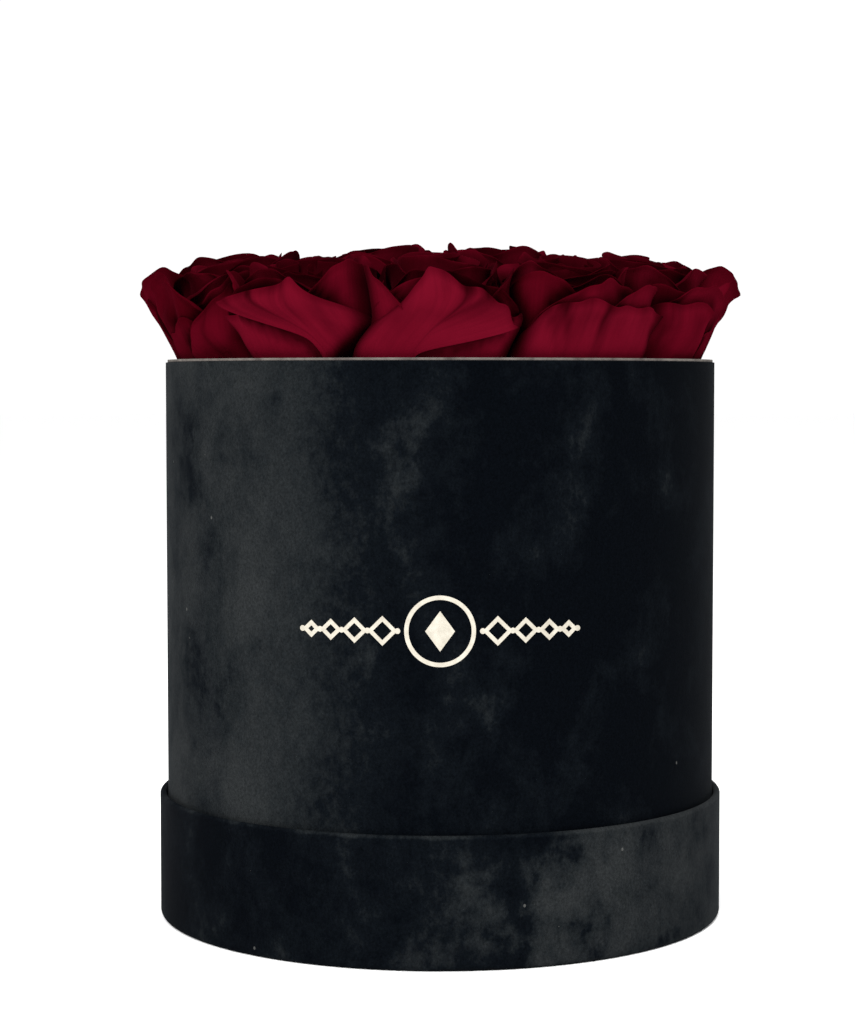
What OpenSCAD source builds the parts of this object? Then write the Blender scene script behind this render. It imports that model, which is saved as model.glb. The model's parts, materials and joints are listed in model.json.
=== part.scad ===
// Round velvet flower box that stands in its own upturned lid and holds a
// dome of cut roses in soaked floral foam.
// Millimetres. Origin: centre of the lid's outer face, on the table. +Z up, front towards -Y.

/* [Box] */
// Outside diameter of the velvet-covered tube
box_d = 180; // [170:1:200]
// Height of the rim above the table, with the box standing in its lid
rim_z = 181.5; // [160:0.5:210]
// Thickness of the tube's board
tube_board_t = 2.0; // [1.5:0.1:3]
// Thickness of the velvet on the tube
tube_velvet_t = 0.6; // [0.4:0.1:0.8]
// How far the bare board edge stands above the velvet at the rim
rim_edge_h = 0.9; // [0.4:0.1:2]

/* [Lid] */
// Height of the lid, which is the tray under the box
lid_h = 40.5; // [30:0.5:60]
// Radial gap between the box and the velvet turned into the lid
lid_gap = 0.4; // [0.3:0.1:1]
// Thickness of the lid band's board
lid_board_t = 1.2; // [1:0.1:2]
// How far the velvet is turned down inside the lid
lid_turn_in = 12; // [6:1:20]

/* [Foam] */
// Depth of the foam's top below the rim
foam_drop = 21.5; // [20:0.5:30]
// Thickness of the foam block
foam_h = 98; // [70:1:110]

/* [Roses] */
// Roses in the outer ring
outer_count = 11; // [10:1:11]
// Roses in the middle
inner_count = 4; // [3:1:4]
// Radius of the outer ring, measured at the rim
outer_ring_r = 66; // [65:0.5:67]
// Radius of the inner ring, measured at the rim
inner_ring_r = 26; // [26:0.5:27]
// Outward lean of the outer roses, in degrees
outer_tilt = 10; // [8:1:12]
// Outward lean of the inner roses, in degrees
inner_tilt = 4; // [2:1:5]
// Radius of the cup of guard petals
guard_cup_r = 19; // [17:0.5:19.5]
// Height of a bloom, from its base to the tip of the bud
bloom_h = 48; // [44:1:50]
// Length of stem pushed into the foam
stem_in_foam = 46; // [30:1:60]

/* [Emblem] */
// Width of the foil ornament on the front
emblem_w = 82; // [50:1:100]
// Height of the ornament's centre above the table
emblem_z = 101; // [70:1:140]

/* [Hidden] */
$fn = 96;

box_r = box_d / 2;
paper_t = 0.3;
lining_t = 0.3;

// Lid, from the outer face up and from the outside in
lid_velvet_t = 0.5;
lid_panel_t = 2.0;
lid_in_r = box_r + lid_gap;
lid_board_in_r = lid_in_r + lid_velvet_t;
lid_board_r = lid_board_in_r + lid_board_t;
lid_r = lid_board_r + lid_velvet_t;
lid_corner_r = 1.5;
lid_floor_z = lid_velvet_t + lid_panel_t + paper_t;

// Box, standing clear of the lid's floor
box_z = lid_floor_z + 0.2;
tube_board_r = box_r - tube_velvet_t;
tube_lining_r = tube_board_r - tube_board_t;
tube_in_r = tube_lining_r - lining_t;
base_z = box_z + tube_velvet_t;
base_t = 2.0;
base_turn_in = 10;
seam_w = 0.5;

// Foam, its liner and its riser
foam_top_z = rim_z - foam_drop;
foam_z = foam_top_z - foam_h;
liner_t = 0.3;
liner_lip = 4;
liner_r = tube_in_r - 1.2;
foam_r = liner_r - liner_t - 0.1;
riser_disc_t = 2.0;
riser_ring_r = 62;
riser_ring_t = 2.0;

// Rose, in its own frame: the bloom's base at the origin, its axis along +Z
outer_base_drop = 14;
inner_base_drop = 10;
petal_t = 1.2;
core_r = 4.2;
core_top_z = 22;
guard_cup_z = 20;
guard_top_z = bloom_h - 2;
guard_flare = 4.5;
guard_lip = 3.2;
guard_petals = 5;
second_cup_r = 13.2;
second_cup_z = 26;
second_top_z = bloom_h - 1;
second_flare = 3;
second_lip = 2.4;
second_petals = 3;
petal_lip_h = 6;
petal_round_r = 34;
petal_gap_deg = 6;
heart_r = 8.6;
heart_mid_z = bloom_h - 16;
heart_top_z = bloom_h;
heart_tip_cut = 0.6;
stem_r = 2.2;
stem_clearance = 0.08;
calyx_r = 5.2;
calyx_z = -1.2;
sepal_reach = 12;
sepal_t = 0.8;
golden_deg = 137.5;
outer_turn_deg = 9;

// The cells that the roses press into
cell_gap = 0.5;
split_r = 45.6;
split_lean = 8;
cell_reach = 60;

rose_count = outer_count + inner_count;
LID_NODES = ["lid_panel_board", "lid_band_board", "lid_panel_velvet", "lid_band_velvet", "lid_lining"];
BOX_NODES = ["tube_board", "tube_velvet", "tube_lining", "base_board", "base_cover",
             "riser_ring", "riser_disc", "foam_liner", "foam_block", "emblem"];
ROSE_PARTS = ["petals", "heart", "stem"];

function two_digits(n) = n < 10 ? str("0", n) : str(n);
function rose_name(i, part) = str("rose_", two_digits(i + 1), "_", part);
function is_outer(i) = i < outer_count;
function rose_angle(i) = is_outer(i)
    ? -90 + i * 360 / outer_count
    : -45 + (i - outer_count) * 360 / inner_count;
function rose_tilt(i) = is_outer(i) ? outer_tilt : inner_tilt;
function rose_drop(i) = is_outer(i) ? outer_base_drop : inner_base_drop;
function rose_ring_r(i) = is_outer(i) ? outer_ring_r : inner_ring_r;
function rose_base_r(i) = rose_ring_r(i) - rose_drop(i) * tan(rose_tilt(i));
// An outer rose turns one guard petal outwards, give or take a little
function rose_turn(i) = is_outer(i) ? outer_turn_deg * sin(i * golden_deg) : i * golden_deg;

// ---- plain shapes ----

module disc(r, z0, z1) {
    translate([0, 0, z0]) cylinder(h = z1 - z0, r = r);
}

module ring(r_out, r_in, z0, z1) {
    difference() {
        disc(r_out, z0, z1);
        disc(r_in, z0 - 1, z1 + 1);
    }
}

// The butt seam of a wrapped strip, at the back
module seam_cut(r, z0, z1) {
    translate([-seam_w / 2, r - 3, z0]) cube([seam_w, 6, z1 - z0]);
}

// ---- lid ----

module lid_panel_board() {
    color("tan") disc(lid_board_in_r, lid_velvet_t, lid_velvet_t + lid_panel_t);
}

module lid_band_profile(inset, top_round, bottom_round) {
    x0 = lid_in_r + inset;
    x1 = lid_r - inset;
    z1 = lid_h - inset;
    difference() {
        union() {
            translate([x0, inset]) square([x1 - x0, z1 - top_round - inset]);
            translate([x0 + top_round, z1 - top_round]) circle(top_round);
        }
        translate([x1 - bottom_round, inset]) difference() {
            square(bottom_round);
            translate([0, bottom_round]) circle(bottom_round);
        }
    }
}

module lid_band_board() {
    color("tan") rotate_extrude()
        lid_band_profile(lid_velvet_t, lid_board_t / 2, lid_corner_r - lid_velvet_t);
}

module lid_panel_velvet() {
    corner_x = lid_r - lid_corner_r;
    color("black") rotate_extrude() {
        square([corner_x, lid_velvet_t]);
        translate([corner_x, lid_corner_r]) intersection() {
            difference() {
                circle(lid_corner_r);
                circle(lid_corner_r - lid_velvet_t);
            }
            translate([0, -lid_corner_r]) square(lid_corner_r);
        }
    }
}

module lid_band_velvet() {
    wall = lid_r - lid_in_r;
    color("black") difference() {
        rotate_extrude() difference() {
            lid_band_profile(0, wall / 2, lid_corner_r);
            lid_band_profile(lid_velvet_t, lid_board_t / 2, lid_corner_r - lid_velvet_t);
            translate([lid_in_r - 1, -1]) square([wall + 2, lid_corner_r + 1]);
            translate([lid_in_r - 1, -1]) square([wall / 2 + 1, lid_h - lid_turn_in + 1]);
        }
        seam_cut(lid_r, -1, lid_h - wall);
    }
}

module lid_lining() {
    panel_z = lid_velvet_t + lid_panel_t;
    color("dimgray") {
        disc(lid_board_in_r, panel_z, panel_z + paper_t);
        ring(lid_board_in_r, lid_board_in_r - paper_t, panel_z + paper_t, lid_h - lid_turn_in);
    }
}

// ---- box ----

module tube_board() {
    color("wheat") ring(tube_board_r, tube_lining_r, base_z, rim_z);
}

module tube_velvet() {
    top_z = rim_z - rim_edge_h;
    color("black") difference() {
        union() {
            ring(box_r, tube_board_r, box_z, top_z);
            ring(tube_board_r, box_r - base_turn_in, box_z, base_z);
        }
        seam_cut(box_r, box_z - 1, top_z + 1);
    }
}

module tube_lining() {
    color("dimgray") ring(tube_lining_r, tube_in_r, base_z + base_t, rim_z - 0.3);
}

module base_board() {
    color("tan") disc(tube_lining_r, base_z, base_z + base_t);
}

module base_cover() {
    color("dimgray") disc(box_r - base_turn_in, base_z - paper_t, base_z);
}

module riser_ring() {
    color("tan") ring(riser_ring_r, riser_ring_r - riser_ring_t,
                      base_z + base_t, foam_z - liner_t - riser_disc_t);
}

module riser_disc() {
    color("tan") disc(liner_r, foam_z - liner_t - riser_disc_t, foam_z - liner_t);
}

module foam_liner() {
    color("silver") {
        difference() {
            disc(liner_r, foam_z - liner_t, foam_top_z + liner_lip);
            disc(liner_r - liner_t, foam_z, foam_top_z + liner_lip + 1);
        }
    }
}

module foam_block() {
    color("darkolivegreen") difference() {
        disc(foam_r, foam_z, foam_top_z);
        for (i = [0 : rose_count - 1]) place_rose(i) stem_hole();
    }
}

// Foil ornament: a diamond in a ring, between two chains of lozenges that grow smaller outwards
module lozenge(r) {
    polygon([[-r, 0], [0, r], [r, 0], [0, -r]]);
}

function chain_at(sizes, k) = k == 0 ? sizes[0] : chain_at(sizes, k - 1) + sizes[k - 1] + sizes[k];

module emblem_outline() {
    ring_r = 10.6;
    line_w = 1.3;
    start = 12.6;
    reach = emblem_w / 2 - start;
    shares = [0.157, 0.136, 0.114, 0.093];
    sizes = [for (share = shares) share * reach];
    difference() {
        circle(ring_r);
        circle(ring_r - line_w);
    }
    polygon([[-4.4, 0], [0, 6], [4.4, 0], [0, -6]]);
    for (side = [0, 1]) mirror([side, 0]) translate([start, 0]) {
        circle(line_w / 2 + 0.2, $fn = 24);
        for (k = [0 : len(sizes) - 1]) {
            translate([chain_at(sizes, k), 0]) difference() {
                lozenge(sizes[k]);
                lozenge(sizes[k] - line_w * 1.3);
            }
            translate([chain_at(sizes, k) + sizes[k], 0]) circle(line_w / 2 + 0.2, $fn = 24);
        }
    }
}

module emblem() {
    foil_t = 0.15;
    color("ivory") intersection() {
        ring(box_r + foil_t, box_r, emblem_z - 20, emblem_z + 20);
        translate([0, 0, emblem_z]) rotate([90, 0, 0]) linear_extrude(box_r + 1) emblem_outline();
    }
}

// ---- roses ----

module place_rose(i) {
    rotate([0, 0, rose_angle(i)]) translate([rose_base_r(i), 0, rim_z - rose_drop(i)])
        rotate([0, rose_tilt(i), 0]) rotate([0, 0, rose_turn(i)]) children();
}

// The wedge of the box that a rose has to itself, cut short of its neighbours
module rose_cell(i) {
    half = 180 / (is_outer(i) ? outer_count : inner_count);
    reach = 2 * box_r;
    apex = cell_gap / sin(half);
    rotate([0, 0, rose_angle(i)]) intersection() {
        translate([apex, 0, rim_z - cell_reach]) linear_extrude(2 * cell_reach)
            polygon([[0, 0], [reach * cos(half), -reach * sin(half)],
                     [reach * cos(half), reach * sin(half)]]);
        if (is_outer(i)) beyond_split();
        else split_cone(split_r - cell_gap, cell_reach * tan(split_lean));
    }
}

// Where the outer ring begins: a flat side, leaning out as it goes up
module beyond_split() {
    reach = 2 * box_r;
    translate([split_r + cell_gap, 0, rim_z]) rotate([0, split_lean, 0])
        translate([0, -reach / 2, -reach / 2]) cube(reach);
}

module split_cone(r, rise) {
    translate([0, 0, rim_z - cell_reach])
        cylinder(h = 2 * cell_reach, r1 = r - rise, r2 = r + rise);
}

// Half section of a petal: a cup, a wall that leans out and a lip that leans out further
module petal_profile(cup_r, cup_z, flare, lip, top_z) {
    wall_r = cup_r + flare;
    wall_z = top_z - petal_lip_h;
    translate([0, cup_z]) intersection() {
        difference() {
            circle(cup_r);
            circle(cup_r - petal_t);
        }
        translate([core_r, -cup_r]) square([cup_r, cup_r]);
    }
    polygon([[cup_r - petal_t, cup_z], [cup_r, cup_z], [wall_r, wall_z],
             [wall_r + lip, top_z], [wall_r + lip - petal_t, top_z], [wall_r - petal_t, wall_z]]);
}

// A ring of petals with round tops
module whorl(count, cup_r, cup_z, flare, lip, top_z) {
    span = 360 / count - petal_gap_deg;
    for (k = [0 : count - 1]) rotate([0, 0, k * 360 / count]) intersection() {
        rotate([0, 0, -span / 2]) rotate_extrude(angle = span)
            petal_profile(cup_r, cup_z, flare, lip, top_z);
        translate([0, 0, top_z - petal_round_r]) rotate([0, 90, 0])
            cylinder(h = 3 * cup_r, r = petal_round_r);
    }
}

module rose_petals(i) {
    second_turn = 25;
    color("crimson") intersection() {
        place_rose(i) {
            whorl(guard_petals, guard_cup_r, guard_cup_z, guard_flare, guard_lip, guard_top_z);
            rotate([0, 0, second_turn])
                whorl(second_petals, second_cup_r, second_cup_z, second_flare, second_lip, second_top_z);
        }
        rose_cell(i);
    }
}

// The closed bud in the middle: an oval with a blunt tip and a flat seat on the core
module rose_heart(i) {
    half_h = heart_top_z + heart_tip_cut - heart_mid_z;
    arc_r = (half_h * half_h + heart_r * heart_r) / (2 * heart_r);
    color("darkred") place_rose(i) rotate_extrude() intersection() {
        translate([heart_r - arc_r, heart_mid_z]) circle(arc_r);
        translate([0, core_top_z]) square([heart_r + 1, heart_top_z - core_top_z]);
    }
}

module sepal_profile() {
    tip_drop = 2.6;
    root = calyx_r - 2;
    polygon([[root, 0], [sepal_reach, -tip_drop], [sepal_reach, -tip_drop - sepal_t],
             [root, -sepal_t - 0.6]]);
}

module rose_stem(i) {
    sepal_deg = 34;
    sepals = 5;
    color("olivedrab") place_rose(i) {
        translate([0, 0, -foam_reach(i)]) cylinder(h = foam_reach(i) + calyx_z, r = stem_r);
        translate([0, 0, calyx_z]) sphere(calyx_r - 1.4);
        cylinder(h = core_top_z, r = core_r);
        for (k = [0 : sepals - 1]) rotate([0, 0, k * 360 / sepals - sepal_deg / 2])
            rotate_extrude(angle = sepal_deg) sepal_profile();
    }
}

function foam_reach(i) = stem_in_foam + foam_drop - rose_drop(i);

module stem_hole() {
    translate([0, 0, -stem_in_foam - foam_drop]) cylinder(h = 100, r = stem_r + stem_clearance);
}

lid_panel_board();
lid_band_board();
lid_panel_velvet();
lid_band_velvet();
lid_lining();
tube_board();
tube_velvet();
tube_lining();
base_board();
base_cover();
riser_ring();
riser_disc();
foam_liner();
foam_block();
emblem();
for (i = [0 : rose_count - 1]) {
    rose_petals(i);
    rose_heart(i);
    rose_stem(i);
}
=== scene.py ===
"""Round velvet flower box in its upturned lid, packed with dark red roses."""

import json
import math

import bmesh
import bpy
import numpy as np
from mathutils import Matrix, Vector


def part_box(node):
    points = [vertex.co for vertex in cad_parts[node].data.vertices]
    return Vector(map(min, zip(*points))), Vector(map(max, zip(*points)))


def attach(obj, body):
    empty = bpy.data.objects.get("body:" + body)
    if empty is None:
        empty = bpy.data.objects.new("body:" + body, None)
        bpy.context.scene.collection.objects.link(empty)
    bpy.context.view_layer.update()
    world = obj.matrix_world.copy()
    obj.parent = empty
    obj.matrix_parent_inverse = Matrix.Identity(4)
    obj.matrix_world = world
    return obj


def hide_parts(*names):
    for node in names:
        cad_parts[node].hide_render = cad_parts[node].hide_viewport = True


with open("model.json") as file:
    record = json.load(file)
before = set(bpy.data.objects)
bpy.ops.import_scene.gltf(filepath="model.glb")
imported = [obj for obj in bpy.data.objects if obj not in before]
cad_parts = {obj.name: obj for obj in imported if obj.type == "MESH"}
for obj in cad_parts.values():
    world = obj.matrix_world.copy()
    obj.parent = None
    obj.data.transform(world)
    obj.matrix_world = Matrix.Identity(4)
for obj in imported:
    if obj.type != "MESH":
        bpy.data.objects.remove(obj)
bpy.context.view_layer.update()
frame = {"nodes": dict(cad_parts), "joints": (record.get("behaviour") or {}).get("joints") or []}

MM = 0.001
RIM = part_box("tube_board")[1].z
LID_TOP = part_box("lid_band_velvet")[1].z
OUTER = 11                        # roses in the ring along the rim; rose 0 faces the camera
MIDDLE = 4                        # roses inside the ring
ROSES = OUTER + MIDDLE
INNER_PETALS = 17                 # petals of a bloom inside its guard petals
OUTER_SUNK, MIDDLE_SUNK = 14, 10  # how far a bloom's base lies below the rim, in millimetres


# ---------------------------------------------------------------- materials

def new_material(name):
    m = bpy.data.materials.new(name)
    m.use_nodes = True
    nt = m.node_tree
    return m, nt, nt.nodes["Principled BSDF"]


def link(nt, a, b):
    nt.links.new(a, b)


def mapping(nt, vector, scale, location=(0, 0, 0)):
    n = nt.nodes.new("ShaderNodeMapping")
    n.inputs["Location"].default_value = location
    n.inputs["Scale"].default_value = scale
    link(nt, vector, n.inputs["Vector"])
    return n.outputs["Vector"]


def smooth_step(nt, value, low, high):
    n = nt.nodes.new("ShaderNodeMapRange")
    n.interpolation_type = "SMOOTHSTEP"
    link(nt, value, n.inputs["Value"])
    n.inputs["From Min"].default_value = low
    n.inputs["From Max"].default_value = high
    return n.outputs[0]


def separate(nt, vector):
    n = nt.nodes.new("ShaderNodeSeparateXYZ")
    link(nt, vector, n.inputs[0])
    return n.outputs


def noise_node(nt, vector, scale, detail=3.0, rough=0.55, distortion=0.0):
    n = nt.nodes.new("ShaderNodeTexNoise")
    n.inputs["Scale"].default_value = scale
    n.inputs["Detail"].default_value = detail
    n.inputs["Roughness"].default_value = rough
    n.inputs["Distortion"].default_value = distortion
    link(nt, vector, n.inputs["Vector"])
    return n.outputs["Fac"]


def ramp(nt, fac, stops):
    """A colour ramp; a stop's colour is a tuple, or one number for a grey."""
    r = nt.nodes.new("ShaderNodeValToRGB")
    e = r.color_ramp.elements
    while len(e) < len(stops):
        e.new(0.5)
    for k, (pos, col) in enumerate(stops):
        e[k].position = pos
        c = col if isinstance(col, tuple) else (col, col, col)
        e[k].color = (*c, 1.0)
    link(nt, fac, r.inputs["Fac"])
    return r.outputs["Color"]


def maths(nt, op, a, b=None, c=None):
    n = nt.nodes.new("ShaderNodeMath")
    n.operation = op
    for k, v in enumerate((a, b, c)):
        if v is None:
            continue
        if isinstance(v, (int, float)):
            n.inputs[k].default_value = v
        else:
            link(nt, v, n.inputs[k])
    return n.outputs[0]


def mix_colour(nt, fac, a, b, blend="MIX"):
    n = nt.nodes.new("ShaderNodeMix")
    n.data_type = "RGBA"
    n.blend_type = blend
    for socket, v in ((n.inputs["Factor"], fac), (n.inputs["A"], a), (n.inputs["B"], b)):
        if isinstance(v, tuple):
            socket.default_value = (*v, 1.0)
        elif isinstance(v, (int, float)):
            socket.default_value = v
        else:
            link(nt, v, socket)
    return n.outputs["Result"]


def bump(nt, height, strength, distance, normal=None):
    b = nt.nodes.new("ShaderNodeBump")
    b.inputs["Strength"].default_value = strength
    b.inputs["Distance"].default_value = distance
    link(nt, height, b.inputs["Height"])
    if normal is not None:
        link(nt, normal, b.inputs["Normal"])
    return b.outputs["Normal"]


def velvet_material(name, light_x, light_amount, dim, seed, highlight_z=None):
    """Black velvet: cloudy patches where the pile lies one way or the other, short pile, a little lint.

    One side, past light_x[1], is lighter, and the other side darker by dim: partly the pile's lie, partly
    painted sheen where the velvet catches the light. A lid's top edge, given by the last argument, gets a
    painted highlight.
    """
    m, nt, p = new_material(name)
    place = nt.nodes.new("ShaderNodeTexCoord").outputs["Object"]
    v = mapping(nt, place, (1.0, 1.0, 0.8), (seed, seed * 0.7, seed * 1.3))
    big = noise_node(nt, v, scale=13, detail=2, rough=0.5, distortion=0.2)
    mid = noise_node(nt, v, scale=44, detail=6, rough=0.62, distortion=0.15)
    fine = noise_node(nt, v, scale=330, detail=4, rough=0.7, distortion=0.1)
    x, y, z = separate(nt, place)
    ragged = maths(nt, "MULTIPLY_ADD", big, 0.10, maths(nt, "MULTIPLY", mid, 0.09))
    # one side lighter, the other darker: partly the pile's lie, partly painted sheen
    light = smooth_step(nt, maths(nt, "ADD", x, maths(nt, "SUBTRACT", ragged, 0.095)), *light_x)
    far_end = light_x[0] + math.copysign(0.01, light_x[1])
    near = smooth_step(nt, x, -light_x[1] * 0.6, far_end)
    pile_and_painted_light = maths(nt, "MULTIPLY_ADD", big, 0.31, maths(nt, "MULTIPLY", mid, 0.70))
    pile_and_painted_light = maths(nt, "MULTIPLY_ADD", fine, 0.20, maths(nt, "SUBTRACT", pile_and_painted_light, 0.105))
    pile_and_painted_light = maths(nt, "MULTIPLY_ADD", light, light_amount, pile_and_painted_light)
    pile_and_painted_light = maths(nt, "SUBTRACT", pile_and_painted_light, maths(nt, "MULTIPLY", maths(nt, "SUBTRACT", 1.0, near), dim))
    # painted highlight along the lid's top edge
    if highlight_z:
        edge = smooth_step(nt, z, highlight_z - 0.0016, highlight_z - 0.0002)
        pile_and_painted_light = maths(nt, "MULTIPLY_ADD", edge, 0.10, pile_and_painted_light)
    colour = ramp(nt, pile_and_painted_light, [(0.43, (0.0010, 0.0015, 0.0024)), (0.53, (0.0022, 0.0031, 0.0043)),
                            (0.61, (0.0073, 0.0088, 0.0099)), (0.76, (0.0146, 0.0162, 0.0170))])
    pile = noise_node(nt, v, scale=1500, rough=0.75)
    colour = mix_colour(nt, 0.6, colour, ramp(nt, pile, [(0.3, 0.35), (0.7, 1.65)]), "MULTIPLY")
    lint = nt.nodes.new("ShaderNodeTexVoronoi")
    lint.inputs["Scale"].default_value = 95
    link(nt, v, lint.inputs["Vector"])
    speck = maths(nt, "LESS_THAN", lint.outputs["Distance"], 0.04)
    rare = maths(nt, "GREATER_THAN", noise_node(nt, v, scale=60, detail=0), 0.58)
    lint_here = maths(nt, "MULTIPLY", maths(nt, "MULTIPLY", speck, rare), 0.5)
    colour = mix_colour(nt, lint_here, colour, (0.10, 0.10, 0.095))
    link(nt, colour, p.inputs["Base Color"])
    p.inputs["Roughness"].default_value = 0.95
    p.inputs["Specular IOR Level"].default_value = 0.012
    p.inputs["Sheen Weight"].default_value = 0.010
    p.inputs["Sheen Roughness"].default_value = 0.35
    p.inputs["Sheen Tint"].default_value = (0.62, 0.70, 0.78, 1)
    link(nt, bump(nt, pile, 0.35, 0.0003, bump(nt, mid, 0.25, 0.0006)), p.inputs["Normal"])
    return m


def petal_material():
    """Crimson petals: painted shade makes them darker towards the foot and along the very rim; fine veins, and
    painted shadows in the folds by the shade attribute.
    """
    m, nt, p = new_material("petal_crimson")
    uv = nt.nodes.new("ShaderNodeUVMap")
    uv.uv_map = "petal"
    place = nt.nodes.new("ShaderNodeTexCoord").outputs["Object"]
    along = separate(nt, uv.outputs["UV"])["Y"]
    light_and_tone = nt.nodes.new("ShaderNodeAttribute")
    light_and_tone.attribute_name = "light_and_tone"
    shade = nt.nodes.new("ShaderNodeAttribute")
    shade.attribute_name = "shade"
    patches = noise_node(nt, place, scale=70, distortion=0.4)
    # painted shade: darker towards the petal's foot, deep in the bloom; random patches on top
    light = maths(nt, "MULTIPLY_ADD", along, 0.25, maths(nt, "MULTIPLY", patches, 0.30))
    light = maths(nt, "ADD", light, maths(nt, "MULTIPLY", light_and_tone.outputs["Fac"], 0.55))
    colour = ramp(nt, light, [(0.12, (0.010, 0.0001, 0.0006)), (0.40, (0.035, 0.0005, 0.0026)),
                              (0.70, (0.070, 0.0014, 0.0062)), (1.0, (0.097, 0.0024, 0.0095))])
    veins = noise_node(nt, mapping(nt, uv.outputs["UV"], (26.0, 1.6, 1.0)), scale=1.6, detail=4, rough=0.65,
                       distortion=0.5)
    colour = mix_colour(nt, 0.30, colour, ramp(nt, veins, [(0.3, 0.72), (0.7, 1.22)]), "MULTIPLY")
    # painted shade along the very rim of each petal, where the edges would catch the light
    edge = ramp(nt, along, [(0.93, 0.0), (1.0, 1.0)])
    colour = mix_colour(nt, maths(nt, "MULTIPLY", edge, 0.55), colour, (0.026, 0.0002, 0.0016))
    # painted shadows from the shade attribute: folds, hidden places and gaps between roses
    colour = mix_colour(nt, 1.0, colour, shade.outputs["Color"], "MULTIPLY")
    link(nt, colour, p.inputs["Base Color"])
    p.inputs["Roughness"].default_value = 0.72
    p.inputs["Specular IOR Level"].default_value = 0.0
    p.inputs["Sheen Weight"].default_value = 0.03
    p.inputs["Sheen Roughness"].default_value = 0.4
    p.inputs["Sheen Tint"].default_value = (0.90, 0.05, 0.12, 1)
    skin = noise_node(nt, place, scale=1500, detail=2, rough=0.6)
    link(nt, bump(nt, skin, 0.12, 0.0002, bump(nt, veins, 0.22, 0.0006)), p.inputs["Normal"])
    return m


def plain_material(name, dark, light, scale, rough, grain, depth, stretch=(1, 1, 1), spec=0.3,
                   pale_above=None):
    """A two-tone mottled surface with its own grain; below pale_above it is stained black with the glue."""
    m, nt, p = new_material(name)
    place = nt.nodes.new("ShaderNodeTexCoord").outputs["Object"]
    v = mapping(nt, place, stretch)
    mottle = noise_node(nt, v, scale, detail=5, rough=0.6, distortion=0.2)
    colour = ramp(nt, mottle, [(0.32, dark), (0.68, light)])
    if pale_above:
        pale = maths(nt, "GREATER_THAN", separate(nt, place)["Z"], pale_above)
        colour = mix_colour(nt, pale, (0.006, 0.006, 0.007), colour)
    link(nt, colour, p.inputs["Base Color"])
    p.inputs["Roughness"].default_value = rough
    p.inputs["Specular IOR Level"].default_value = spec
    link(nt, bump(nt, noise_node(nt, v, grain, rough=0.65), 0.5, depth), p.inputs["Normal"])
    return m


MAT_TUBE = velvet_material("velvet_tube", (-0.010, -0.060), 0.185, 0.045, 17.2)
MAT_LID = velvet_material("velvet_lid", (0.015, 0.055), 0.17, 0.035, 9.1, LID_TOP)
MAT_PETAL = petal_material()
MAT_EDGE = plain_material("raw_board_edge", (0.060, 0.050, 0.045), (0.16, 0.142, 0.125), scale=160,
                          rough=0.9, grain=900, depth=0.0003, pale_above=RIM - 0.0007)
MAT_STAINED = plain_material("stained_board", (0.004, 0.004, 0.005), (0.010, 0.010, 0.011), scale=160,
                             rough=0.9, grain=900, depth=0.0003)
MAT_BOARD = plain_material("grey_board", (0.20, 0.175, 0.14), (0.33, 0.29, 0.24), scale=55,
                           rough=0.92, grain=1200, depth=0.0003)
MAT_PAPER = plain_material("lining_paper", (0.010, 0.010, 0.012), (0.022, 0.022, 0.025), scale=240,
                           rough=0.8, grain=900, depth=0.0002)
MAT_FOAM = plain_material("floral_foam", (0.020, 0.055, 0.022), (0.045, 0.110, 0.040), scale=60,
                          rough=0.95, grain=700, depth=0.0012)
MAT_FILM = plain_material("liner_film", (0.42, 0.45, 0.45), (0.62, 0.65, 0.65), scale=26,
                          rough=0.25, grain=60, depth=0.0012)
MAT_FOIL = plain_material("ivory_foil", (0.34, 0.31, 0.25), (0.46, 0.43, 0.36), scale=420,
                          rough=0.38, grain=1300, depth=0.0001, spec=0.6)
MAT_STEM = plain_material("stem_green", (0.020, 0.060, 0.010), (0.070, 0.130, 0.025), scale=130,
                          rough=0.5, grain=700, depth=0.0003, stretch=(1, 1, 0.25))


def dress(name, material):
    o = frame["nodes"][name]
    o.data.materials.clear()
    o.data.materials.append(material)


for n in ("lid_panel_board", "base_board", "riser_ring", "riser_disc"):
    dress(n, MAT_BOARD)
dress("lid_band_board", MAT_STAINED)
for n in ("lid_lining", "tube_lining", "base_cover"):
    dress(n, MAT_PAPER)
dress("tube_board", MAT_EDGE)
dress("foam_liner", MAT_FILM)
dress("foam_block", MAT_FOAM)
dress("emblem", MAT_FOIL)
dress("tube_velvet", MAT_TUBE)
dress("lid_band_velvet", MAT_LID)
dress("lid_panel_velvet", MAT_LID)


# ---------------------------------------------------------------- rose petals

def smooth(x, a, b):
    """Smooth step from 0 at a to 1 at b."""
    t = np.clip((x - a) / (b - a), 0, 1)
    return t * t * (3 - 2 * t)


def ripple(rng, u, v, waves=5, fu=2.2, fv=1.4):
    """Slow random undulation of a sheet, about -1 to 1."""
    out = np.zeros_like(u)
    for _ in range(waves):
        a, b = rng.uniform(0.4, fu), rng.uniform(0.2, fv)
        ph, sg = rng.uniform(0, 2 * math.pi), rng.choice([-1, 1])
        out += np.sin(2 * math.pi * (a * u * 0.5 + sg * b * v) + ph)
    return out / waves * 1.6


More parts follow.
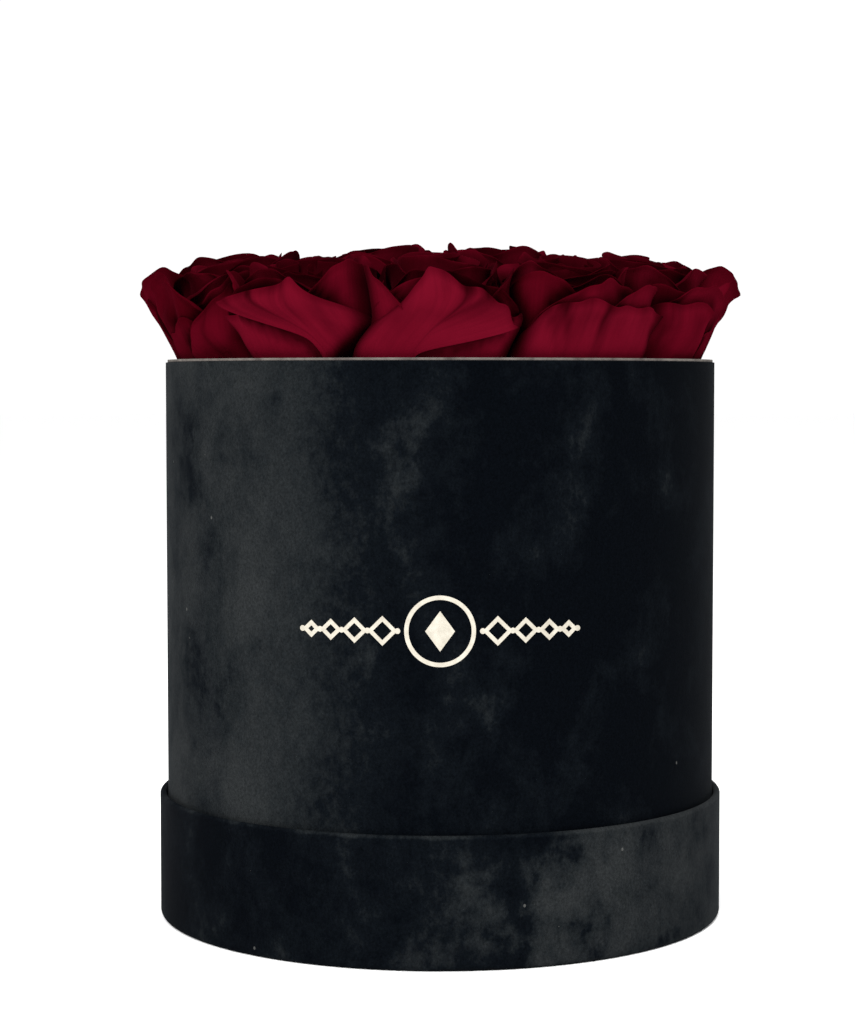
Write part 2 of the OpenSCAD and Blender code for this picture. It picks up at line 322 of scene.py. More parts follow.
# One petal's measures, in millimetres and degrees. u runs from -1 to 1 across it, v from 0 at its foot to 1
# at its edge, az is the way it faces in radians: 0 is away from the box's middle.
PETAL = dict(
    nu=17, nv=15,                            # points across and along
    length=50, width=19,                     # foot to edge; half of the width
    foot=0.35, wide_at=0.62, narrow=0.12,    # share of the width at the foot, v of full width, loss at edge
    open_l=None, open_r=None,                # a wing that opens late: from and to which v
    tip=2.0, tip_w=0.25, tip_u=0.0,          # the point of the edge: height, spread and place
    drop_l=9, drop_r=9, p_l=2.2, p_r=2.2,    # how much lower the edge's ends are, and how late they drop
    scallop=0.0,                             # unevenness of the edge
    r0=4, z0=0, start=80, cup=26,            # place and slope of the foot, length over which it stands up
    flare=3, flare_more=14,                  # slope above the cup, and what the rest of the length adds
    lip=30, lip_side=25, lip_l=0, lip_r=0,   # roll of the edge: all over, at both ends, at one end
    lip_len=8,                               # how far below the edge the roll begins
    wrap=1.15, spiral=0.05, edge_curl=2.0,   # radius across, slant into a spiral, sides bent outwards
    wave=0.9, ruffle=0.5, ruffles=2.4,       # undulation, and height and number of ruffles at the edge
    sway=0.0,                                # how far the top is shifted sideways
    creases=(),                              # (u, height, width, slant) of each fold
    pinches=(),                              # (u, height, width) of each fold in the edge only
    light_and_tone=0.6)                                # lightness: random tone, and painted shade on petals that lie in shade

FINE_NU = 30        # petals with more points across than this have small folds


def petal_sheet(rng, s):
    """One petal in the rose's frame: its points, their u and v, its folds' heights, and its lightness after the
    painted shade in its folds.
    """
    nu, nv = s["nu"], s["nv"]
    u = np.linspace(-1, 1, nu)[None, :] * np.ones((nv, 1))
    v = np.linspace(0, 1, nv)[:, None] ** 0.85 * np.ones((1, nu))
    du = u - s["tip_u"]
    rel = np.abs(du / (1 - np.sign(du) * s["tip_u"]))
    side = np.where(du < 0, s["drop_l"] * rel ** s["p_l"], s["drop_r"] * rel ** s["p_r"])
    length = s["length"] + s["tip"] * np.exp(-np.abs(du) / s["tip_w"]) - side
    length = length + s["scallop"] * ripple(rng, u, v * 0, 3, 6.0)
    t = v * length
    # direction of growth, measured from the rose's axis, outwards
    flare = math.radians(s["flare"])
    phi = flare + math.radians(s["flare_more"]) * smooth(t, s["cup"], s["length"])
    phi = phi + (math.radians(s["start"]) - flare) * np.clip(1 - t / s["cup"], 0, 1)
    near_edge = np.clip(1 - (length - t) / s["lip_len"], 0, 1)
    lip = math.radians(s["lip"]) + math.radians(s["lip_side"]) * np.abs(du) ** 1.3
    lip = lip + math.radians(s["lip_r"]) * np.maximum(du, 0) ** 1.5
    lip = lip + math.radians(s["lip_l"]) * np.maximum(-du, 0) ** 1.5
    phi = phi + lip * near_edge ** 1.5
    dt = np.diff(t, axis=0, prepend=t[:1])
    rho = s["r0"] + np.cumsum(np.sin(phi) * dt, axis=0)
    z = s["z0"] + np.cumsum(np.cos(phi) * dt, axis=0)
    rc = rho[:, nu // 2:nu // 2 + 1]
    wrap = s["wrap"] * np.maximum(rc, 2.0)
    half = s["width"] * (s["foot"] + (1 - s["foot"]) * smooth(v, 0, s["wide_at"]))
    for wing, open_at in ((u < 0, s["open_l"]), (u > 0, s["open_r"])):
        if open_at:
            half = np.where(wing, s["width"] * (0.06 + 0.94 * smooth(v, *open_at)), half)
    half = half * (1 - s["narrow"] * smooth(v, 0.75, 1.0))
    ang = u * half / wrap
    out = (rho - rc) + s["spiral"] * rc * u
    out = out + s["edge_curl"] * smooth(np.abs(u), 0.55, 1.0) ** 1.5 * smooth(v, 0.25, 0.9)
    out = out + s["wave"] * ripple(rng, u, v) * smooth(v, 0.15, 1.0)
    out = out + s["ruffle"] * np.sin(2 * math.pi * (s["ruffles"] * u + rng.uniform(0, 1))) * v ** 6
    detail = np.zeros_like(u)
    # painted shade in the folds and beside the creases and pinches
    dark = np.zeros_like(u)
    if nu > FINE_NU:
        detail = detail + 0.22 * ripple(rng, u, v, 9, 9.0, 4.0) * smooth(v, 0.3, 0.8)
        folds = ripple(rng, u, v, 4, 3.2, 2.2)
        detail = detail + 0.9 * folds * smooth(v, 0.25, 0.8)
        dark = dark + 0.28 * smooth(-folds, 0.0, 1.2) * smooth(v, 0.25, 0.8)
    for c, height, width, slant in s["creases"]:
        at = (u - c - slant * (1 - v)) / width
        on = smooth(v, 0.4, 0.9)
        detail = detail + height * np.exp(-np.sqrt(at ** 2 + 0.05)) * on
        dark = dark + 0.42 * height * np.exp(-(at + 1.1) ** 2 * 1.6) * on
    for c, height, width in s["pinches"]:
        at = (u - c) / width
        detail = detail + height * np.cos(at * 2.2) * np.exp(-at ** 2) * v ** 6
        dark = dark + 0.55 * height * np.exp(-(np.abs(at) - 1.2) ** 2 * 3) * v ** 7
    z = z + s["wave"] * 0.5 * ripple(rng, u, v) * v ** 2
    x = (rc - wrap) + (wrap + out) * np.cos(ang)
    y = (wrap + out) * np.sin(ang) + s["sway"] * smooth(t, 22, 46)
    ca, sa = math.cos(s["az"]), math.sin(s["az"])
    pts = np.stack([x * ca - y * sa, x * sa + y * ca, z], axis=-1)
    return pts, u, v, detail, 1 - 0.75 * np.clip(dark, 0, 1)


def rose_specs(rng, guards, top):
    """The petals of one bloom whose middle is top high, from the closed middle outwards."""
    golden = math.radians(137.5)
    a0 = rng.uniform(0, 2 * math.pi)
    specs = []
    for k in range(INNER_PETALS):
        f = k / (INNER_PETALS - 1)
        r = 2.0 + 13.0 * f ** 0.9
        high = top - 2.5 * f + rng.uniform(-1.6, 1.6) * (0.4 + f)
        cup = max(3.0, (r - 2.0) / 0.60)
        rise = 0.70 * cup
        # lighter outwards: painted shade deep in the bloom, with random tone
        specs.append(dict(
            PETAL, az=a0 + k * golden + rng.uniform(-0.25, 0.25), r0=2.0 + 1.5 * f, z0=2,
            cup=cup, length=high - 2 - rise + cup,
            flare=-6 + 6 * f, flare_more=-10 + 18 * f, lip=8 + 46 * f + rng.uniform(-14, 14),
            lip_side=20 + 26 * f, lip_len=4 + 4 * f, width=6.5 + 13 * f ** 0.8, foot=0.5,
            wrap=1.0 + 0.15 * f, edge_curl=0.5 + 1.6 * f, wave=0.3 + 0.9 * f, ruffle=0.25 + 0.7 * f,
            ruffles=rng.uniform(1.2, 2.6), tip=0.6 + 2.2 * f * rng.uniform(0.2, 1),
            tip_w=rng.uniform(0.12, 0.3), tip_u=rng.uniform(-0.35, 0.35) * f,
            drop_l=3 + rng.uniform(3, 8) * f, drop_r=3 + rng.uniform(3, 8) * f,
            spiral=0.16 - 0.09 * f, scallop=0.3 + 0.5 * f, light_and_tone=0.46 + 0.22 * f + rng.uniform(-0.12, 0.15)))
    return specs + [dict(PETAL, **g) for g in guards]


# guard petals as (turn in thirds of a circle, ring); turn 0 faces outwards, and ring 2's two petals lean over
# the rim beside it
ALL_ROUND = ((0, 1), (1, 1), (2, 1), (0.5, 0), (1.5, 0), (2.5, 0), (0.1, 2), (1.2, 2))
BACK = ((0.5, 0), (1.5, 0), (2.5, 0), (1, 1), (2, 1))
BACK_RIGHT = ((0.5, 0), (1.5, 0), (1, 1), (2, 1))
BACK_LEFT = ((1.5, 0), (2.5, 0), (1, 1), (2, 1))


def default_guards(rng, turns):
    """Guard petals that differ from one another at random."""
    guards = []
    for k, ring in turns:
        az = k * 2 * math.pi / 3 + rng.uniform(-0.22, 0.22)
        if ring == 2:
            az = (k - 0.6) * 1.15
        guards.append(dict(
            az=az, length=47 + rng.uniform(-4.0, 3.0) + (1.5 if ring else 0), cup=24 + 2.2 * ring,
            flare=2 + rng.uniform(-1, 2), flare_more=10 + 3 * ring + rng.uniform(-3, 4),
            lip=26 + rng.uniform(-16, 26), lip_side=22 + rng.uniform(-10, 20), lip_len=rng.uniform(6, 10),
            width=18.5 + rng.uniform(-1.5, 2.5), tip=rng.uniform(1.0, 4.5), tip_w=rng.uniform(0.12, 0.4),
            tip_u=rng.uniform(-0.45, 0.45), drop_l=rng.uniform(5, 14), drop_r=rng.uniform(5, 14),
            p_l=rng.uniform(1.2, 2.4), p_r=rng.uniform(1.2, 2.4),
            wave=rng.uniform(0.9, 1.6), ruffle=rng.uniform(0.4, 1.1), ruffles=rng.uniform(1.2, 2.6),
            scallop=rng.uniform(0.3, 1.0), light_and_tone=rng.uniform(0.45, 0.8)))
    return guards


FINE = dict(cup=25, nu=37, nv=27, flare=4, flare_more=12, edge_curl=1.5, wave=0.6, ruffle=0.5, scallop=1.0)
INNER = dict(cup=24, wrap=1.3, flare_more=6, lip=14, drop_l=9, drop_r=9, light_and_tone=0.5, tip=2, scallop=0.9)

# the two petals of a middle rose that reach into the corners where four roses meet
SPREAD = dict(length=50, cup=22, flare=6, flare_more=52, lip=18, width=18, wave=1.2, scallop=0.8, light_and_tone=0.4)

# the petals that face outwards on the front roses, inner ones first
# their lightness is partly painted light: the lit front petals lighter, those at the sides darker
HERO = {
    0: [dict(INNER, az=0.05, length=49, width=20),
        dict(INNER, az=0.95, length=49, width=14, lip=22),
        dict(INNER, az=-0.92, length=50, width=14, flare_more=10),
        dict(FINE, az=0.42, length=39.5, width=20, drop_l=1, drop_r=4, tip=0.5, lip=10, light_and_tone=0.80),
        dict(FINE, az=-0.42, sway=12, length=51.0, tip=4.5, tip_w=0.16, tip_u=-0.16, width=27, foot=0.38,
             wide_at=0.95, open_r=(0.70, 0.97), wrap=1.8, drop_l=31, p_l=1.0, drop_r=13, p_r=1.4, lip=2,
             lip_side=0, lip_r=45, lip_len=7, light_and_tone=0.95, wave=0.4, narrow=0.0,
             pinches=((0.35, 1.4, 0.10), (0.1, 0.8, 0.08)),
             creases=((0.50, 1.5, 0.06, -0.5), (0.33, 1.2, 0.05, -0.3), (-0.35, 0.8, 0.10, 0.5)))],
    1: [dict(INNER, az=-0.85, length=48, width=14, light_and_tone=0.3),
        dict(INNER, az=-0.1, length=47, width=18, light_and_tone=0.5),
        dict(INNER, az=0.5, length=46, width=18, flare_more=10, light_and_tone=0.6),
        dict(FINE, az=-0.16, length=43, tip=1.2, tip_u=-0.3, width=26, foot=0.55, wrap=1.8,
             drop_l=19, p_l=1.2, drop_r=4.5, p_r=2.2, lip=6, lip_side=4, lip_len=6, light_and_tone=0.92, narrow=0.0,
             pinches=((-0.25, 1.0, 0.10), (-0.45, 0.6, 0.07), (0.7, 0.7, 0.12)),
             creases=((0.12, 2.2, 0.05, 0.05), (-0.28, 1.3, 0.05, 0.3), (-0.45, 1.0, 0.05, 0.5)))],
    2: [dict(INNER, az=-0.3, length=48, width=19, flare_more=12, lip=30),
        dict(FINE, az=0.15, length=38.5, width=16, tip=2.5, drop_l=8, drop_r=8, light_and_tone=0.35, flare_more=27,
             lip=85, lip_side=30, lip_len=9),
        dict(FINE, az=-0.95, length=43, tip=1.0, tip_u=0.5, width=22, foot=0.5, wrap=1.6, drop_l=10,
             p_l=1.5, drop_r=1, p_r=2.0, flare_more=16, lip=10, lip_side=8, lip_len=7, light_and_tone=0.55,
             pinches=((0.1, 0.7, 0.1),), creases=((0.2, 1.3, 0.06, -0.3), (-0.3, 1.0, 0.06, 0.2)))],
    3: [dict(FINE, az=0.0, length=54, width=18, tip=3, drop_l=9, drop_r=9, light_and_tone=0.10, flare_more=15,
             lip=12, lip_side=20, lip_len=9, scallop=0.5, wave=0.4),
        dict(az=-0.9, length=54, cup=25, width=19, drop_l=8, drop_r=4, light_and_tone=0.25, flare_more=15, lip=24)],
    8: [dict(FINE, az=0.0, length=53, width=18, tip=1, drop_l=9, drop_r=9, light_and_tone=0.05, flare_more=16,
             lip=12, lip_side=20, lip_len=9, scallop=0.4, wave=0.3),
        dict(az=0.95, length=53, cup=25, width=16, drop_l=4, drop_r=8, light_and_tone=0.15, flare_more=12, lip=14)],
    9: [dict(FINE, az=0.0, length=52, width=19, tip=2.5, drop_l=9, drop_r=9, light_and_tone=0.10, flare_more=17,
             lip=14, lip_len=8, scallop=0.6),
        dict(FINE, az=0.30, length=38, width=17, tip=1, drop_l=5, drop_r=6, light_and_tone=0.2, lip=20),
        dict(FINE, az=1.0, length=45, tip=2.5, tip_u=0.15, width=19, foot=0.3, wide_at=0.9, wrap=1.6,
             open_l=(0.50, 0.88), drop_l=14, p_l=1.3, drop_r=9, p_r=1.5, lip=8, lip_side=6, lip_len=7,
             lip_l=50, light_and_tone=0.30,
             pinches=((0.2, 0.7, 0.1),), creases=((0.3, 1.4, 0.06, 0.3), (-0.25, 1.1, 0.06, -0.3)))],
    10: [dict(INNER, az=0.0, length=48, width=19),
         dict(INNER, az=1.0, length=51, width=14),
         dict(FINE, az=-0.20, length=39, width=22, tip=0.8, drop_l=4, drop_r=5, light_and_tone=0.80, lip=10),
         dict(FINE, az=0.68, sway=-10, length=47.5, tip=4.5, tip_u=0.10, tip_w=0.12, width=24, foot=0.2,
              wide_at=1.1, open_l=(0.66, 0.96), wrap=1.9, drop_l=0.5, p_l=1.0, drop_r=17, p_r=1.2, lip=2,
              lip_side=0, lip_l=34, lip_len=8, light_and_tone=0.9, narrow=0.0,
              pinches=((-0.3, 1.2, 0.12), (-0.7, 0.9, 0.1)),
              creases=((-0.35, 1.6, 0.07, 0.6), (0.05, 1.0, 0.05, 0.3), (0.45, 0.8, 0.08, -0.3)))],
}
# how high a bloom's middle is above its base
HIGH = {0: 43.5, 1: 43.5, 2: 44.5, 9: 45.0, 10: 44.0}
OUTER_HIGH, MIDDLE_HIGH = 47.0, 44.0


def soft_side(d, m, s):
    """Pushes points that are past a boundary back inside it, keeping their order."""
    x = (d - m) / s
    return m + s * np.where(x > 20, x, np.log1p(np.exp(np.minimum(x, 20))))


# borders are numbered by the rose before them: from 0 in the ring, from INSIDE among the middle roses
INSIDE = 20

# how far the photo's borders wander to the next rose's side, at heights above the rim
BORDER = {0: ((0, -3), (11, 0), (20, -4), (30, -2)), 1: ((0, -2.5), (28, -2)),
          9: ((0, 6), (14, 2), (28, 0)), 10: ((0, -6), (10, 3), (28, 2))}


def border_wave(k, x, z):
    """How far border k wanders, the same for the roses on both its sides."""
    a = 2.399 * k
    if k in BORDER:
        z0, w = zip(*BORDER[k])
        return np.interp(z, z0, w) + 0.5 * np.sin(z / 5.0 + a)
    return (1.4 * np.sin(z / 9.0 + a) + 2.3 * np.sin(x / 6.5 + 2.1 * a)
            + smooth(x, 80, 92) * 2.5 * math.sin(4.7 * k + 0.6))


SPLIT, SPLIT_LEAN = 45.6, 8             # border round the roses inside the ring: radius at the rim, degrees
WALL = 86.6                             # radius of the room inside the tube
BORDER_SOFT, WALL_SOFT = 1.2, 0.8       # how softly a petal gives way at a border and at the tube's wall


def press_in(i, p, inset):
    """Presses a bloom's points (row frame, millimetres) into the room it has among its neighbours.

    Returns them and a painted shade: darker in the narrow gaps between the roses.
    """
    free, p = p, p.copy()
    above = p[:, 2] - RIM / MM
    if i < OUTER:
        az, half = -math.pi / 2 + i * 2 * math.pi / OUTER, math.pi / OUTER
        before, after = (i - 1) % OUTER, i
    else:
        j = i - OUTER
        az, half = -math.pi / 4 + j * math.pi / 2, math.pi / MIDDLE
        before, after = INSIDE + (j - 1) % MIDDLE, INSIDE + j
    c, s = math.cos(az), math.sin(az)
    x = p[:, 0] * c + p[:, 1] * s
    y = -p[:, 0] * s + p[:, 1] * c
    margin = 0.4 + 0.3 * inset
    # the border between the ring of roses and the ones in the middle
    wander = 1.2 * np.sin(3 * np.arctan2(p[:, 1], p[:, 0]) + above / 8)
    split = SPLIT + above * math.tan(math.radians(SPLIT_LEAN)) + wander
    sign = 1 if i < OUTER else -1
    r = np.hypot(x, y)
    k = (split + sign * soft_side(sign * (r - split), margin, BORDER_SOFT)) / np.maximum(r, 1e-6)
    x, y = x * k, y * k
    # the borders to both sides
    room = np.full(len(x), 99.0)
    for sign, k in ((1, after), (-1, before)):
        d = x * math.sin(half) - sign * y * math.cos(half) + sign * border_wave(k, x, above)
        inside = soft_side(d, margin, BORDER_SOFT)
        room = np.minimum(room, inside)
        y = y - sign * (inside - d) / math.cos(half)
    # the tube's wall, up to the rim, and how far petals may lean out over it
    r = np.hypot(x, y)
    limit = WALL + 0.62 * np.maximum(above, 0) + 20 * smooth(above, 10, 30)
    d = soft_side(limit - r, 0.3 + inset, WALL_SOFT)
    k = np.minimum((limit - d) / np.maximum(r, 1e-6), 1.0)
    x, y = x * k, y * k
    p[:, 0], p[:, 1] = x * c - y * s, x * s + y * c
    # a petal that is pressed in bends down a little
    moved = np.hypot(p[:, 0] - free[:, 0], p[:, 1] - free[:, 1])
    p[:, 2] -= 0.45 * np.clip(moved - 1.5, 0, 12) * smooth(above, 12, 30)
    # painted shade in the narrow gaps between roses, fading out 22 to 36 mm above the rim
    return p, 1 - 0.92 * (1 - smooth(room, 0.4, 6.0)) * (1 - smooth(above, 22, 36))


class Layers:
    """How far out a bloom reaches already, by direction and height, so that a petal lies outside the last."""

    SECTORS, LEVELS, LOWEST = 120, 80, -8       # directions, millimetres of height, and where those begin

    def __init__(self):
        self.reach = np.zeros((self.SECTORS, self.LEVELS))

    def cells(self, p):
        turn = (np.arctan2(p[..., 1], p[..., 0]) / (2 * math.pi)) % 1.0
        level = np.clip(p[..., 2] - self.LOWEST, 0, self.LEVELS - 1)
        return (turn * self.SECTORS).astype(int) % self.SECTORS, level.astype(int)

    def beside(self):
        """The reach, taken from the farthest of three neighbouring directions."""
        return np.max([np.roll(self.reach, k, 0) for k in (-1, 0, 1)], axis=0)

    def lay(self, p, gap, detail):
        """Moves a sheet out until it clears what is there by gap, smoothly, then adds its folds."""
        near = self.beside()
        near = np.maximum(near, np.maximum(np.roll(near, 1, 1), np.roll(near, -1, 1)))
        ia, iz = self.cells(p)
        r = np.hypot(p[..., 0], p[..., 1])
        inside = near[ia, iz]
        push = np.where(inside > 0, np.maximum(inside + gap - r, 0), 0)
        push[:3] = 0        # the foot stays where it is
        for _ in range(5):
            pad = np.pad(push, 1, mode="edge")
            around = np.maximum.reduce([pad[:-2, 1:-1], pad[2:, 1:-1], pad[1:-1, :-2], pad[1:-1, 2:]])
            push = np.maximum(push, around * 0.84)
        for _ in range(3):
            pad = np.pad(push, 1, mode="edge")
            push = (pad[:-2, 1:-1] + pad[2:, 1:-1] + pad[1:-1, :-2] + pad[1:-1, 2:] + 2 * push) / 6
        k = 1 + (np.minimum(push, 9) + detail) / np.maximum(r, 3.0)
        p = p.copy()
        p[..., 0] *= k
        p[..., 1] *= k
        self.mark(p)
        return p

    def mark(self, p):
        """Notes where a sheet reaches, at four times its points in both directions."""
        for axis in (0, 1):
            n = p.shape[axis]
            at = np.linspace(0, n - 1, 4 * n)
            lo = np.floor(at).astype(int)
            hi = np.minimum(lo + 1, n - 1)
            w = (at - lo).reshape([-1 if d == axis else 1 for d in range(3)])
            p = np.take(p, lo, axis) * (1 - w) + np.take(p, hi, axis) * w
        ia, iz = self.cells(p)
        np.maximum.at(self.reach, (ia, iz), np.hypot(p[..., 0], p[..., 1]))

    def hidden(self, p, under):
        """How much each point is shut in by the sheets marked so far: beside it, just below it, and over it."""
        e = self.beside()
        ia, iz = self.cells(p)
        r = np.hypot(p[..., 0], p[..., 1])
        top = self.LEVELS - 1
        out = np.zeros(r.shape)
        for down in range(10):
            over = e[ia, np.clip(iz - down, 0, top)] - r
            out = np.maximum(out, smooth(over, 0.4, 4.0) * (1 - down / 10.0) ** 1.6)
        for up in range(1, 6):
            over = e[ia, np.clip(iz + up, 0, top)] - r - 0.36 * up
            out = np.maximum(out, under * smooth(over, -0.5, 0.9) * (1 - up / 6.0) ** 1.2)
        return out


def rose_frame(i):
    """Matrix and base that turn a rose's own millimetres into the row frame's millimetres."""
    name = "rose_%02d" % (i + 1)
    joint = [j for j in frame["joints"] if j["child"] == name][0]
    axis = Vector(joint["axis"]).normalized()
    lo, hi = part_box(name + "_heart")
    c = (lo + hi) / 2
    sunk = OUTER_SUNK if i < OUTER else MIDDLE_SUNK
    base = c + axis * ((RIM - sunk * MM - c.z) / axis.z)
    radial = Vector((axis.x, axis.y, 0)).normalized()
    side = axis.cross(radial).normalized()
    out = side.cross(axis)
    m = np.array([[out.x, side.x, axis.x], [out.y, side.y, axis.y], [out.z, side.z, axis.z]])
    return m, np.array(base) / MM


def guard_specs(i, rng):
    """The guard petals of rose i: the photo's on the front roses, with random ones behind them."""
    if i in HERO:
        guards = default_guards(rng, {3: BACK_RIGHT, 8: BACK_LEFT}.get(i, BACK))
        # painted shade: the guard petals behind the front ones are darker
        for g in guards:
            g["light_and_tone"] -= 0.2
        return guards + HERO[i]
    guards = default_guards(rng, ALL_ROUND)
    if i >= OUTER:
        for g in guards:
            g.update(length=g["length"] - 1.5, flare_more=g["flare_more"] + 12, width=g["width"] + 2)
        guards += [dict(SPREAD, az=az) for az in (-1.38, 1.38)]
    return guards


PETAL_GAP = 0.55                        # between the middles of two petals' thickness
PETAL_THICKNESS = 0.45
HERO_SHADOW, OTHER_SHADOW = 0.90, 0.66  # how much painted shadow darkens a petal where others hide it


def bloom_sheets(i):
    """The petals of one bloom, in the rose's frame, laid round each other, with painted shadow where they are
    hidden.
    """
    rng = np.random.default_rng(100 + i)
    guards = guard_specs(i, rng)
    layers = Layers()
    sheets = []
    for s in rose_specs(rng, guards, HIGH.get(i, OUTER_HIGH if i < OUTER else MIDDLE_HIGH)):
        pts, u, v, detail, clear = petal_sheet(rng, s)
        sheets.append(dict(s, pts=layers.lay(pts, PETAL_GAP, detail), u=u, v=v, light=clear))
    outside = Layers()
    # painted shadow where the petals outside hide this one
    for k, sheet in reversed(list(enumerate(sheets))):
        hidden = outside.hidden(sheet["pts"], 1.0 if sheet["nu"] > FINE_NU else 0.5)
        shadow = HERO_SHADOW if i in HERO and k >= INNER_PETALS else OTHER_SHADOW
        sheet["light"] = sheet["light"] * (1 - shadow * hidden)
        outside.mark(sheet["pts"])
    return sheets


def rose_object(me, material):
    me.materials.append(material)
    me.shade_smooth()
    o = bpy.data.objects.new(me.name, me)
    bpy.context.scene.collection.objects.link(o)
    return o


def subdivide(o):
    sub = o.modifiers.new("smooth", "SUBSURF")
    sub.levels = sub.render_levels = 1


def build_bloom(i):
    """All petals of one rose as one mesh, with each petal's lightness, part random tone and part painted shade,
    and its painted shadows as attributes.
    """
    m, base = rose_frame(i)
    sheets = bloom_sheets(i)
    verts, faces, uvs, lights_and_tones, shades = [], [], [], [], []
    count = 0
    for k, s in enumerate(sheets):
        u, v = s["u"], s["v"]
        inset = 0.5 * min(len(sheets) - 1 - k, 7)
        p, gap_shade = press_in(i, s["pts"].reshape(-1, 3) @ m.T + base, inset)
        verts.append(p)
        idx = np.arange(u.size).reshape(u.shape) + count
        count += u.size
        corners = [idx[:-1, :-1], idx[:-1, 1:], idx[1:, 1:], idx[1:, :-1]]
        faces.append(np.stack(corners, axis=-1).reshape(-1, 4))
        uvs.append(np.stack([(u + 1) / 2, v], axis=-1).reshape(-1, 2))
        lights_and_tones.append(np.full(u.size, s["light_and_tone"]))
        shades.append(s["light"].ravel() * gap_shade)
    me = bpy.data.meshes.new("bloom_%02d" % (i + 1))
    me.from_pydata((np.concatenate(verts) * MM).tolist(), [], np.concatenate(faces).tolist())
    loops = np.zeros(len(me.loops), np.int64)
    me.loops.foreach_get("vertex_index", loops)
    layer = me.uv_layers.new(name="petal")
    layer.data.foreach_set("uv", np.concatenate(uvs)[loops].astype(np.float32).ravel())
    for name, values in (("light_and_tone", lights_and_tones), ("shade", shades)):
        attr = me.attributes.new(name, "FLOAT", "POINT")
        attr.data.foreach_set("value", np.concatenate(values).astype(np.float32))
    o = rose_object(me, MAT_PETAL)
    sol = o.modifiers.new("thickness", "SOLIDIFY")
    sol.thickness = PETAL_THICKNESS * MM
    sol.offset = 0
    subdivide(o)
    body = "rose_%02d" % (i + 1)
    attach(o, body)
    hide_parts(body + "_petals", body + "_heart")


for i in range(ROSES):
    build_bloom(i)


# ---------------------------------------------------------------- stems

OUTER_REACH, MIDDLE_REACH = 53.5, 57.5      # from the bloom's base to the stem's cut end
STEM_SIDES = 20
SEPALS = 5
SEPAL_ROWS = 12
SEPAL_ACROSS = (-1, -0.5, 0, 0.5, 1)


def add_stem(bm, add, reach, cut):
    """The stem with its slanting cut, the hip and the core that the petals sit on, as (radius, height) rings."""
    profile = [(0.9, -reach + 0.5), (1.9, -reach + 0.6), (2.1, -reach + 1.6), (2.12, -reach * 0.75),
               (2.08, -reach * 0.5), (2.12, -reach * 0.25), (2.15, -8.5), (2.5, -6.4), (3.6, -4.6),
               (3.9, -3.0), (3.6, -1.2), (3.2, 0.0), (3.6, 1.4), (3.9, 4.0), (3.4, 9.0), (2.4, 15.0),
               (0.8, 18.5)]
    rings = []
    for r, z in profile:
        ring = []
        for k in range(STEM_SIDES):
            a = 2 * math.pi * k / STEM_SIDES
            rr = r * (1 + 0.015 * math.sin(3 * a + z) if z < -8 else 1 + 0.03 * math.sin(5 * a))
            slope = 1.4 * (1 + math.cos(a - cut)) / 2 if z < -reach + 2 else 0.0
            ring.append(add(rr * math.cos(a), rr * math.sin(a), z + slope))
        rings.append(ring)
    for lower, upper in zip(rings[:-1], rings[1:]):
        for k in range(STEM_SIDES):
            j = (k + 1) % STEM_SIDES
            bm.faces.new((lower[k], lower[j], upper[j], upper[k]))
    bm.faces.new(list(reversed(rings[0])))
    bm.faces.new(rings[-1])


def add_sepal(bm, add, rng, q):
    """One sepal: a thin leaf with an uneven outline that droops from under the bloom."""
    a = 2 * math.pi * q / SEPALS + rng.uniform(-0.12, 0.12)
    long, wide = rng.uniform(11.0, 13.0), rng.uniform(2.2, 2.7)
    droop, twist = rng.uniform(1.8, 3.4), rng.uniform(-0.25, 0.25)

    def surface(layer):
        grid = []
        for r in range(SEPAL_ROWS):
            t = r / (SEPAL_ROWS - 1)
            half = wide * math.sin(math.pi * (0.25 + 0.75 * t)) ** 0.8 + 0.06
            half += 0.22 * math.sin(t * 26) * (1 - t)
            row = []
            for c in SEPAL_ACROSS:
                rad = 2.9 + long * t
                tan = half * c + twist * long * t * t
                z = -1.5 - droop * t ** 1.6 - 0.5 * (1 - abs(c)) - layer * 0.4 * (1 - 0.6 * t)
                row.append(add(rad * math.cos(a) - tan * math.sin(a),
                               rad * math.sin(a) + tan * math.cos(a), z))
            grid.append(row)
        return grid

    top, low = surface(0), surface(1)
    last = len(SEPAL_ACROSS) - 1
    for r in range(SEPAL_ROWS - 1):
        for c in range(last):
            bm.faces.new((top[r][c], top[r + 1][c], top[r + 1][c + 1], top[r][c + 1]))
            bm.faces.new((low[r][c], low[r][c + 1], low[r + 1][c + 1], low[r + 1][c]))
        bm.faces.new((top[r][0], low[r][0], low[r + 1][0], top[r + 1][0]))
        bm.faces.new((top[r][last], top[r + 1][last], low[r + 1][last], low[r][last]))
    for r, flip in ((0, False), (SEPAL_ROWS - 1, True)):
        for c in range(last):
            f = (top[r][c], top[r][c + 1], low[r][c + 1], low[r][c])
            bm.faces.new(tuple(reversed(f)) if flip else f)


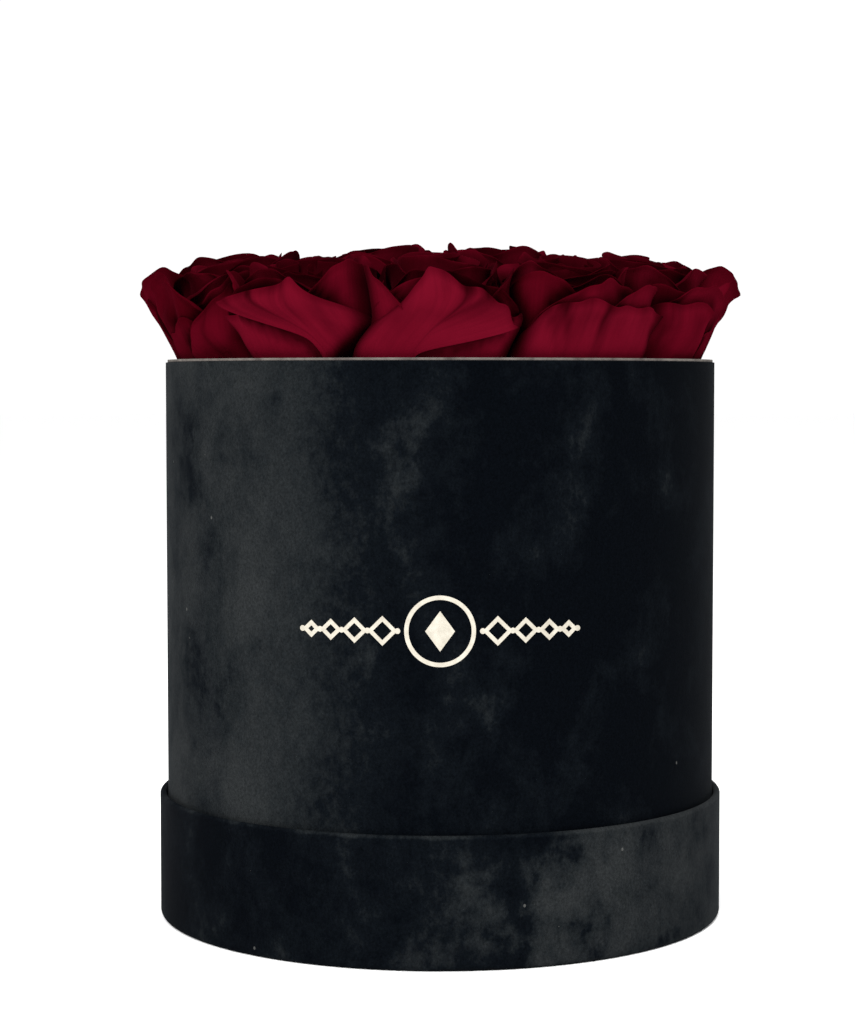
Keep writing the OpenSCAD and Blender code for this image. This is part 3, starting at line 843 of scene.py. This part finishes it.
def build_stalk(i):
    rng = np.random.default_rng(400 + i)
    m, base = rose_frame(i)
    bm = bmesh.new()

    def add(x, y, z):
        p = np.array([x, y, z]) @ m.T + base
        return bm.verts.new(p * MM)

    add_stem(bm, add, OUTER_REACH if i < OUTER else MIDDLE_REACH, rng.uniform(0, 2 * math.pi))
    for q in range(SEPALS):
        add_sepal(bm, add, rng, q)
    bmesh.ops.recalc_face_normals(bm, faces=bm.faces)
    me = bpy.data.meshes.new("stalk_%02d" % (i + 1))
    bm.to_mesh(me)
    bm.free()
    o = rose_object(me, MAT_STEM)
    subdivide(o)
    body = "rose_%02d" % (i + 1)
    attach(o, body)
    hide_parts(body + "_stem")


for i in range(ROSES):
    build_stalk(i)


# ---------------------------------------------------------------- stage, light and camera

def add_stage():
    bm = bmesh.new()
    bmesh.ops.create_grid(bm, x_segments=2, y_segments=2, size=12)
    me = bpy.data.meshes.new("floor")
    bm.to_mesh(me)
    bm.free()
    floor = bpy.data.objects.new("floor", me)
    bpy.context.scene.collection.objects.link(floor)
    m, _, p = new_material("floor_white")
    p.inputs["Base Color"].default_value = (0.96, 0.96, 0.96, 1)
    p.inputs["Roughness"].default_value = 0.9
    p.inputs["Specular IOR Level"].default_value = 0.1
    me.materials.append(m)


def area_light(name, place, size, power):
    """A square light that points at the middle of the arrangement."""
    d = bpy.data.lights.new(name, "AREA")
    d.size = size
    d.energy = power
    o = bpy.data.objects.new(name, d)
    o.location = place
    o.rotation_euler = (Vector((0, 0, 0.15)) - Vector(place)).to_track_quat("-Z", "Y").to_euler()
    bpy.context.scene.collection.objects.link(o)


add_stage()
world = bpy.data.worlds.new("studio")
world.use_nodes = True
world.node_tree.nodes["Background"].inputs["Color"].default_value = (1, 1, 1, 1)
world.node_tree.nodes["Background"].inputs["Strength"].default_value = 1.04
bpy.context.scene.world = world
area_light("key", (-0.35, -1.7, 1.1), 0.7, 32)
area_light("top", (0.1, -0.3, 1.7), 0.8, 20)

# the camera is fitted to the photo's outline of the tube, its rim and the lid
cam_data = bpy.data.cameras.new("camera")
cam_data.sensor_width = 36
cam_data.lens = 84.4
cam_data.shift_x = -0.0123
cam_data.clip_start = 0.01
cam = bpy.data.objects.new("camera", cam_data)
cam.location = (0, -0.794, 0.1747)
cam.rotation_euler = (math.radians(90 - 3.13), 0, 0)
bpy.context.scene.collection.objects.link(cam)
bpy.context.scene.camera = cam
bpy.context.scene.view_settings.view_transform = "Standard"
